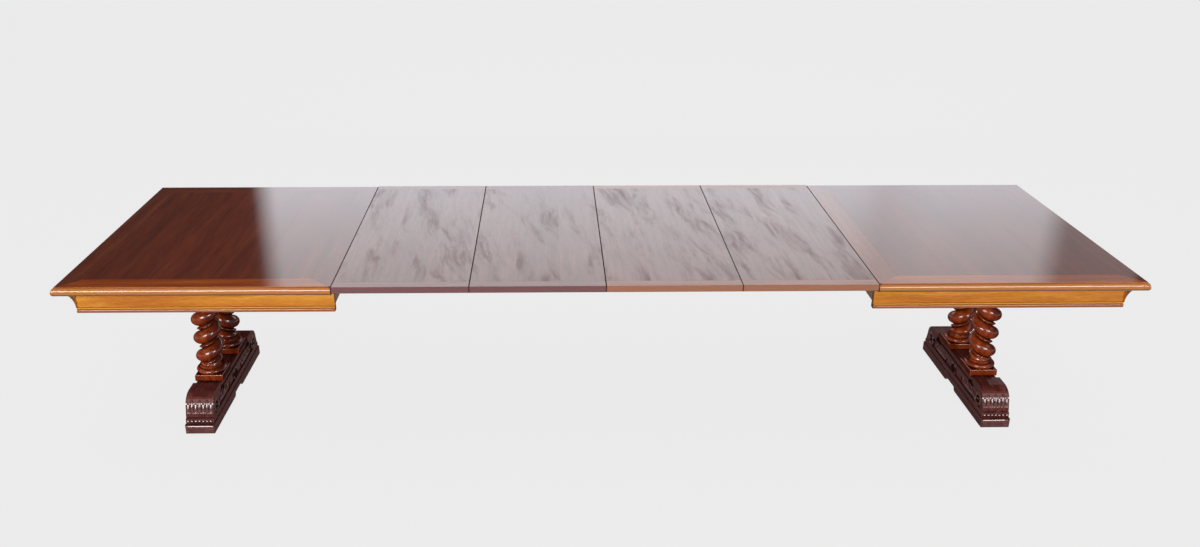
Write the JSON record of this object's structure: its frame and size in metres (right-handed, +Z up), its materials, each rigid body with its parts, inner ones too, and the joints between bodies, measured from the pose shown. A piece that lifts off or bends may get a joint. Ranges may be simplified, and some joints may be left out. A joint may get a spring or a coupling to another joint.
{
  "type": "double pedestal dining table",
  "caption": "Long dining table of two banded, thumb-moulded ends on twist-turned columns and carved sledge feet, drawn apart on wooden slides over loose leaves.",
  "frame": {"origin": "on the floor under the middle of the top", "axes": "+X along the table, +Y across it to the back, +Z up"},
  "size_m": [4.162, 1.26, 0.77],
  "materials": {
    "field_wood": "French-polished walnut boards",
    "border_wood": "French-polished walnut crossband",
    "leaf_board_wood": "satin-polished walnut boards",
    "leaf_band_wood": "satin-polished walnut bands",
    "apron_wood": "polished golden walnut",
    "column_wood": "polished red-brown walnut, turned and carved",
    "foot_wood": "dark stained walnut, carved",
    "frame_wood": "oiled oak",
    "slide_wood": "waxed beech",
    "block_wood": "bare pine",
    "peg_wood": "beech dowel"
  },
  "bodies": {
    "left_end": {"left_apron_back": "apron_wood", "left_apron_front": "apron_wood", "left_apron_outer": "apron_wood", "left_bearer": "frame_wood", "left_column_back": "column_wood", "left_column_front": "column_wood", "left_corner_blocks": "block_wood", "left_foot_base": "foot_wood", "left_foot_beam": "foot_wood", "left_packing_blocks": "block_wood", "left_rail_inner": "frame_wood", "left_slide_stops": "peg_wood", "left_slides": "slide_wood", "left_top_border_back": "border_wood", "left_top_border_front": "border_wood", "left_top_border_inner": "border_wood", "left_top_border_outer": "border_wood", "left_top_field": "field_wood", "left_yoke": "frame_wood"},
    "right_end": {"right_apron_back": "apron_wood", "right_apron_front": "apron_wood", "right_apron_outer": "apron_wood", "right_bearer": "frame_wood", "right_column_back": "column_wood", "right_column_front": "column_wood", "right_corner_blocks": "block_wood", "right_foot_base": "foot_wood", "right_foot_beam": "foot_wood", "right_packing_blocks": "block_wood", "right_rail_inner": "frame_wood", "right_slide_stops": "peg_wood", "right_slides": "slide_wood", "right_top_border_back": "border_wood", "right_top_border_front": "border_wood", "right_top_border_inner": "border_wood", "right_top_border_outer": "border_wood", "right_top_field": "field_wood", "right_yoke": "frame_wood"},
    "middle_slide_front": {"middle_slide_front": "slide_wood"},
    "middle_slide_back": {"middle_slide_back": "slide_wood"},
    "leaf_1": {"leaf_1_bands": "leaf_band_wood", "leaf_1_battens": "slide_wood", "leaf_1_board": "leaf_board_wood"},
    "leaf_2": {"leaf_2_bands": "leaf_band_wood", "leaf_2_battens": "slide_wood", "leaf_2_board": "leaf_board_wood"},
    "leaf_3": {"leaf_3_bands": "leaf_band_wood", "leaf_3_battens": "slide_wood", "leaf_3_board": "leaf_board_wood"},
    "leaf_4": {"leaf_4_bands": "leaf_band_wood", "leaf_4_battens": "slide_wood", "leaf_4_board": "leaf_board_wood"}
  },
  "joints": [
    {"name": "right_end_pull", "type": "slide", "parent": "left_end", "child": "right_end", "axis": [1, 0, 0], "range_m": [0, 0.08]},
    {"name": "middle_front_slide", "type": "slide", "parent": "left_end", "child": "middle_slide_front", "axis": [1, 0, 0], "range_m": [0, 0.04]},
    {"name": "middle_back_slide", "type": "slide", "parent": "left_end", "child": "middle_slide_back", "axis": [1, 0, 0], "range_m": [0, 0.04]},
    {"name": "leaf_1_lift", "type": "slide", "parent": "left_end", "child": "leaf_1", "axis": [0, 0, 1], "range_m": [0, 0.4]},
    {"name": "leaf_2_lift", "type": "slide", "parent": "middle_slide_front", "child": "leaf_2", "axis": [0, 0, 1], "range_m": [0, 0.4]},
    {"name": "leaf_3_lift", "type": "slide", "parent": "middle_slide_front", "child": "leaf_3", "axis": [0, 0, 1], "range_m": [0, 0.4]},
    {"name": "leaf_4_lift", "type": "slide", "parent": "right_end", "child": "leaf_4", "axis": [0, 0, 1], "range_m": [0, 0.4]}
  ],
  "couplings": [
    {"joint": "middle_front_slide", "follows": "right_end_pull", "ratio": 0.5},
    {"joint": "middle_back_slide", "follows": "right_end_pull", "ratio": 0.5}
  ]
}
